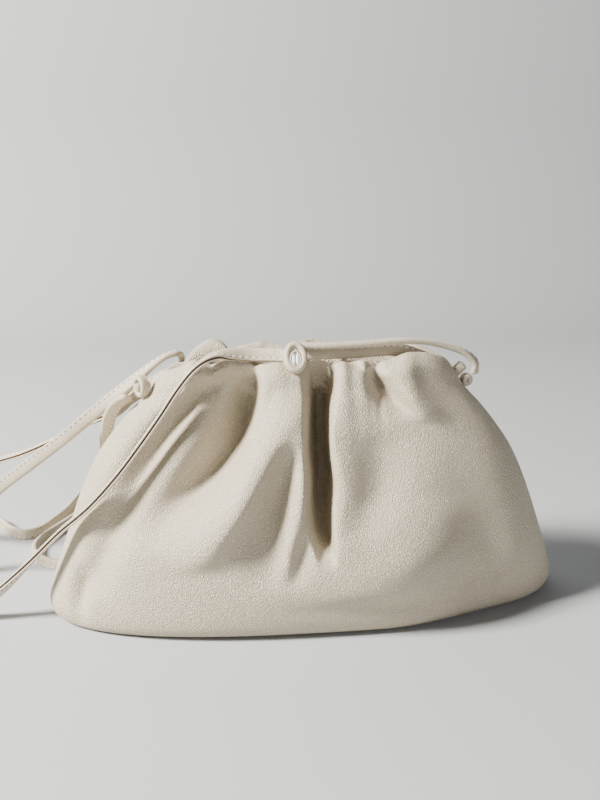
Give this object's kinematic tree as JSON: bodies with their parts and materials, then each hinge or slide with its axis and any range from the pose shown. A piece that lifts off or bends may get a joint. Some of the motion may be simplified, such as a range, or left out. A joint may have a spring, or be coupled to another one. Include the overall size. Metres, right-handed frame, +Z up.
{
  "type": "cloud pouch bag",
  "caption": "Soft gathered leather clutch with a wide flat base, a narrow drawn-in mouth and a long thin leather strap lying loose beside it.",
  "frame": {"origin": "middle of the flat base on the surface that the bag stands on", "axes": "+Z up, the front with the middle knot looks towards -Y, +X to the viewer's right along the bag's width"},
  "size_m": [0.2964, 0.1743, 0.1185],
  "materials": {
    "pouch_leather": "fine pebbled cream leather, half matt",
    "strap_leather": "smooth cream leather, stitched, half matt",
    "cut_leather": "white sealed cut edge, slightly glossy"
  },
  "bodies": {
    "root": {"pouch_body": "pouch_leather", "side_loop_left": "pouch_leather", "side_loop_right": "pouch_leather", "strap_ring_left": "strap_leather", "strap_knot_right": "strap_leather", "centre_knot": "strap_leather", "strap_end": "cut_leather", "long_strap": "strap_leather", "upper_strap": "strap_leather", "lower_strap": "strap_leather"}
  },
  "joints": []
}
